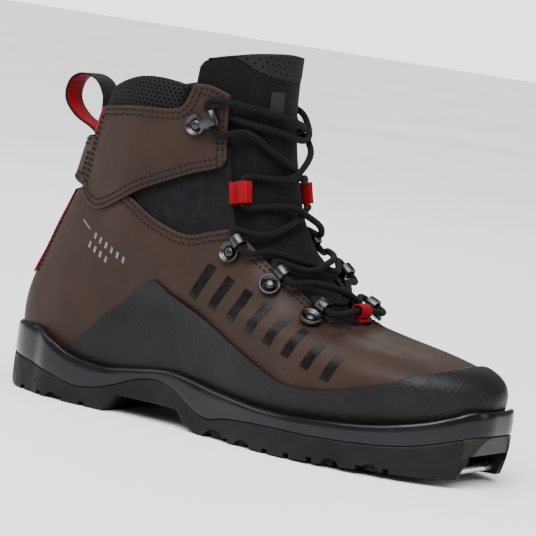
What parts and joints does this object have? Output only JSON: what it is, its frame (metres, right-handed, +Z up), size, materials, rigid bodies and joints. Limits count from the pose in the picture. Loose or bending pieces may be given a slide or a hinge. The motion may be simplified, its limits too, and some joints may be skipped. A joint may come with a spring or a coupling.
{
  "type": "cross country ski boot",
  "caption": "Ankle-high backcountry ski boot with a leather upper, rubber rand, padded collar and tongue, laced front, hinged cuff and a sole with a toe bar for the ski binding.",
  "frame": {"origin": "middle of the boot's bounding box in plan, on the ground under the sole", "axes": "+X towards the toe, -Y towards the outer (lateral) side of this right boot, +Z up"},
  "size_m": [0.3114, 0.1064, 0.2102],
  "materials": {
    "brown_leather": "matte nubuck",
    "rand_rubber": "pebbled satin",
    "sole_frame": "gloss",
    "sole_rubber": "matte",
    "steel": "satin",
    "dark_nickel": "dark antique nickel",
    "black_cloth": "woven, matte",
    "tongue_mesh": "perforated mesh",
    "collar_knit": "honeycomb knit",
    "label": "woven label",
    "red_webbing": "ribbed webbing",
    "lace": "braided",
    "insole_board": "fibre board",
    "footbed": "felt-topped foam",
    "stiffener": "thermoplastic sheet"
  },
  "bodies": {
    "lower": {"outsole": "sole_rubber", "sole_frame": "sole_frame", "toe_bar": "steel", "shank_plate": "steel", "insole_board": "insole_board", "footbed": "footbed", "vamp_and_quarters": "brown_leather", "rand": "rand_rubber", "toe_puff": "stiffener", "heel_counter": "stiffener", "liner": "black_cloth", "gusset_lateral": "black_cloth", "gusset_medial": "black_cloth", "back_stripe": "red_webbing", "tongue": "black_cloth", "tongue_lining": "tongue_mesh", "tongue_label": "label", "lace_loop_lateral_1": "dark_nickel", "loop_rivet_lateral_1": "dark_nickel", "lace_loop_lateral_2": "dark_nickel", "loop_rivet_lateral_2": "dark_nickel", "lace_loop_lateral_3": "dark_nickel", "loop_rivet_lateral_3": "dark_nickel", "webbing_loop_lateral": "red_webbing", "lace_loop_medial_1": "dark_nickel", "loop_rivet_medial_1": "dark_nickel", "lace_loop_medial_2": "dark_nickel", "loop_rivet_medial_2": "dark_nickel", "lace_loop_medial_3": "dark_nickel", "loop_rivet_medial_3": "dark_nickel", "webbing_loop_medial": "red_webbing", "webbing_loop_toe": "red_webbing", "lace": "lace"},
    "cuff": {"cuff_lateral": "brown_leather", "cuff_medial": "brown_leather", "backstay_tab": "brown_leather", "back_stripe_upper": "red_webbing", "collar_pad": "collar_knit", "pull_loop": "red_webbing", "speed_hook_lateral": "dark_nickel", "speed_hook_medial": "dark_nickel", "hook_rivet_lateral": "dark_nickel", "hook_rivet_medial": "dark_nickel"}
  },
  "joints": [
    {"name": "cuff_flex", "type": "hinge", "parent": "lower", "child": "cuff", "pos_m": [-0.0733, 0.00125, 0.116], "axis": [0, 1, 0], "range_deg": [0, 15], "stiffness_Nm_per_rad": 10, "deforming": ["liner", "tongue", "tongue_lining", "tongue_label", "gusset_lateral", "gusset_medial", "lace", "webbing_loop_lateral", "webbing_loop_medial"]}
  ]
}
